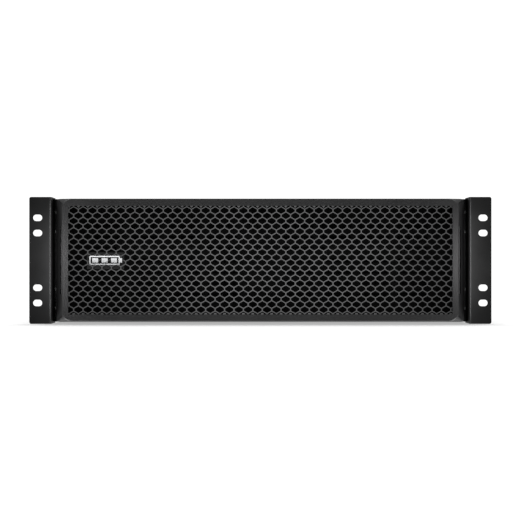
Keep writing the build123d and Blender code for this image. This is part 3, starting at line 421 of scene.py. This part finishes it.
def welded(node):
    """The node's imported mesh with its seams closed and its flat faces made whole."""
    bm = bmesh.new()
    bm.from_mesh(NODES[node].data)
    bmesh.ops.remove_doubles(bm, verts=bm.verts, dist=WELD_DISTANCE)
    bmesh.ops.dissolve_limit(bm, angle_limit=FLAT_ANGLE, verts=bm.verts, edges=bm.edges)
    return bm


def soften(bm, width):
    """Rounds every sharp edge by a small radius."""
    edges = [edge for edge in bm.edges if edge.is_manifold and edge.calc_face_angle() > SHARP_ANGLE]
    bmesh.ops.bevel(
        bm,
        geom=edges,
        offset=width,
        offset_type="OFFSET",
        segments=EDGE_SEGMENTS,
        profile=0.5,
        affect="EDGES",
        clamp_overlap=True,
    )


def finished(node):
    """A finished copy of a CAD node with softened edges and its look, standing in for it."""
    bm = welded(node)
    soften(bm, EDGE_WIDTHS.get(node, EDGE_WIDTH) * MM)
    name = node + "_finished"
    mesh = bpy.data.meshes.new(name)
    bm.to_mesh(mesh)
    bm.free()
    piece = bpy.data.objects.new(name, mesh)
    bpy.context.scene.collection.objects.link(piece)
    mesh.materials.append(MATERIALS[LOOK_OF.get(node, SLOT_OF[node])])
    mesh.shade_smooth()
    weighted = piece.modifiers.new("weighted normals", "WEIGHTED_NORMAL")
    weighted.mode = "FACE_AREA"
    weighted.weight = 100
    weighted.keep_sharp = True
    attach(piece, BODY_OF[node])
    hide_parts(node)
    return piece


PIECES = {node: finished(node) for node in NODES}

# ---------------------------------------------------------------- stage
FLOOR_HALF_SIZE = 30.0
FLOOR_ALBEDO = 0.1
FLOOR_GLOW = 0.45
BACKDROP = 1.1

# Brightness of the room from straight in front, through a pale surround, to behind the object
ROOM_TONES = [(0.04, 0.08), (0.125, 0.9), (0.5, 0.9), (0.6, 0.45)]


def white_floor():
    """White floor under the rack ears, which takes the object's shadow but throws no light back."""
    mesh = bpy.data.meshes.new("floor")
    bm = bmesh.new()
    bmesh.ops.create_grid(bm, x_segments=1, y_segments=1, size=FLOOR_HALF_SIZE)
    bm.to_mesh(mesh)
    bm.free()
    floor = bpy.data.objects.new("floor", mesh)
    floor.location = (0, 0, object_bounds()[0].z)
    floor.visible_diffuse = False
    floor.visible_glossy = False
    floor.visible_shadow = False
    bpy.context.scene.collection.objects.link(floor)
    graph = Graph("floor_white")
    grain = graph.noise(scale=3.0, detail=4.0)
    tone = graph.ramp(grain, "Fac", [(0.3, (FLOOR_ALBEDO,) * 3), (0.7, (FLOOR_ALBEDO * 1.03,) * 3)])
    graph.join(tone, "Color", graph.shader, "Base Color")
    graph.set(
        Roughness=0.9,
        Specular_IOR_Level=0.0,
        Emission_Color=(1, 1, 1, 1),
        Emission_Strength=FLOOR_GLOW,
    )
    mesh.materials.append(graph.material)
    floor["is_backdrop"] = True
    return floor


def white_room():
    """White backdrop, and a pale room around the object with a dark patch straight in front of it."""
    world = bpy.data.worlds.new("studio")
    bpy.context.scene.world = world
    world.use_nodes = True
    tree = world.node_tree
    tree.nodes.clear()
    direction = tree.nodes.new("ShaderNodeTexCoord")
    split = tree.nodes.new("ShaderNodeSeparateXYZ")
    tree.links.new(direction.outputs["Generated"], split.inputs[0])
    depth = tree.nodes.new("ShaderNodeMapRange")
    depth.inputs["From Min"].default_value = -1.0
    depth.inputs["From Max"].default_value = 1.0
    tree.links.new(split.outputs["Y"], depth.inputs["Value"])
    ramp = tree.nodes.new("ShaderNodeValToRGB")
    fill_ramp(ramp.color_ramp, [(place, (tone,) * 3) for place, tone in ROOM_TONES])
    tree.links.new(depth.outputs["Result"], ramp.inputs["Fac"])
    room = tree.nodes.new("ShaderNodeBackground")
    tree.links.new(ramp.outputs["Color"], room.inputs["Color"])
    backdrop = tree.nodes.new("ShaderNodeBackground")
    backdrop.inputs["Color"].default_value = (1, 1, 1, 1)
    backdrop.inputs["Strength"].default_value = BACKDROP
    path = tree.nodes.new("ShaderNodeLightPath")
    mix = tree.nodes.new("ShaderNodeMixShader")
    tree.links.new(path.outputs["Is Camera Ray"], mix.inputs[0])
    tree.links.new(room.outputs[0], mix.inputs[1])
    tree.links.new(backdrop.outputs[0], mix.inputs[2])
    output = tree.nodes.new("ShaderNodeOutputWorld")
    tree.links.new(mix.outputs[0], output.inputs["Surface"])


def camera():
    """The long-lens camera, straight in front."""
    data = bpy.data.cameras.new("camera")
    data.sensor_width = SENSOR
    data.lens = CAMERA_LENS
    data.clip_end = CAMERA_FAR_END
    view = bpy.data.objects.new("camera", data)
    view.location = (CAMERA_OFFSET[0], -CAMERA_DISTANCE, CAMERA_OFFSET[1])
    view.rotation_euler = (math.radians(90), 0, 0)
    bpy.context.scene.collection.objects.link(view)
    bpy.context.scene.camera = view


# ---------------------------------------------------------------- lights
KEY_HEIGHT = 54
KEY_SPREAD = 44
KEY_STRENGTH = 22.5

# What the fills are aimed at, in metres from the middle
BAND_X = 0.207
EAR_FILL_X = 0.204
FOLD_X = 0.2184
FACET = (0.2, 0.06)
BADGE_FILL = (-0.168, 0.031)


def light_only(lamp, pieces):
    """Keeps a light to the given pieces."""
    lit = bpy.data.collections.new(lamp.name + "_lit")
    for piece in pieces:
        lit.objects.link(piece)
    lamp.light_linking.receiver_collection = lit


def floor_key(floor):
    """A broad even light from behind and above for the floor alone, which makes its short shadow."""
    data = bpy.data.lights.new("floor_key", "SUN")
    data.energy = KEY_STRENGTH
    data.angle = math.radians(KEY_SPREAD)
    lamp = bpy.data.objects.new("floor_key", data)
    lamp.rotation_euler = (math.radians(KEY_HEIGHT - 90), 0, 0)
    bpy.context.scene.collection.objects.link(lamp)
    light_only(lamp, [floor])


def soft_light(name, place, target, size, power, pieces):
    """A soft rectangular light aimed at a point, for the given pieces alone."""
    data = bpy.data.lights.new(name, "AREA")
    data.shape = "RECTANGLE"
    data.size, data.size_y = size
    data.energy = power
    lamp = bpy.data.objects.new(name, data)
    lamp.location = place
    direction = Vector(target) - Vector(place)
    lamp.rotation_euler = direction.to_track_quat("-Z", "Y").to_euler()
    lamp.visible_camera = False
    bpy.context.scene.collection.objects.link(lamp)
    light_only(lamp, pieces)


def bezel_fills(side, name):
    """Lifts one side band of the bezel from outside, past the grip groove, and its two corner facets."""
    bezel = [PIECES["bezel_frame"]]
    soft_light(
        "band_fill_" + name,
        place=(side * 0.232, -0.085, 0),
        target=(side * BAND_X, 0, 0),
        size=(0.012, 0.06),
        power=0.115,
        pieces=bezel,
    )
    facet_x, facet_z = FACET
    for level, label, power in ((-1, "low", 21.0), (1, "high", 9.0)):
        soft_light(
            f"facet_fill_{label}_{name}",
            place=(side * 0.7, -0.06, level * 0.9),
            target=(side * facet_x, 0, level * facet_z),
            size=(0.3, 0.3),
            power=power,
            pieces=bezel,
        )


def ear_fills(side, name):
    """Grades one rack ear towards its fold, and draws the bright line along the fold."""
    ear = [PIECES["rack_ear_" + name]]
    soft_light(
        "ear_fill_" + name,
        place=(side * EAR_FILL_X, -0.05, 0),
        target=(side * EAR_FILL_X, 0, 0),
        size=(0.01, 0.08),
        power=0.045,
        pieces=ear,
    )
    soft_light(
        "fold_fill_" + name,
        place=(side * 0.2, -0.016, 0),
        target=(side * FOLD_X, 0, 0),
        size=(0.006, 0.12),
        power=0.06,
        pieces=ear,
    )


def front_fill():
    """One wide low fill for the bezel and the grille."""
    soft_light(
        "bezel_fill",
        place=(0, -0.22, 0),
        target=(0, 0, 0),
        size=(0.28, 0.03),
        power=0.25,
        pieces=[PIECES[node] for node in ("bezel_frame", "grille", "grille_retainers")],
    )


def badge_fill():
    """A close light whose lower edge crosses the badge, so that its face fades downwards."""
    x, z = BADGE_FILL
    soft_light(
        "badge_fill",
        place=(x, -0.1, z),
        target=(x, 0, z),
        size=(0.1, 0.06),
        power=0.034,
        pieces=[PIECES["badge_symbol"]],
    )


bpy.context.scene.view_settings.view_transform = "Standard"
FLOOR = white_floor()
white_room()
camera()
floor_key(FLOOR)
front_fill()
for side_sign, side_name in SIDES:
    bezel_fills(side_sign, side_name)
    ear_fills(side_sign, side_name)
badge_fill()
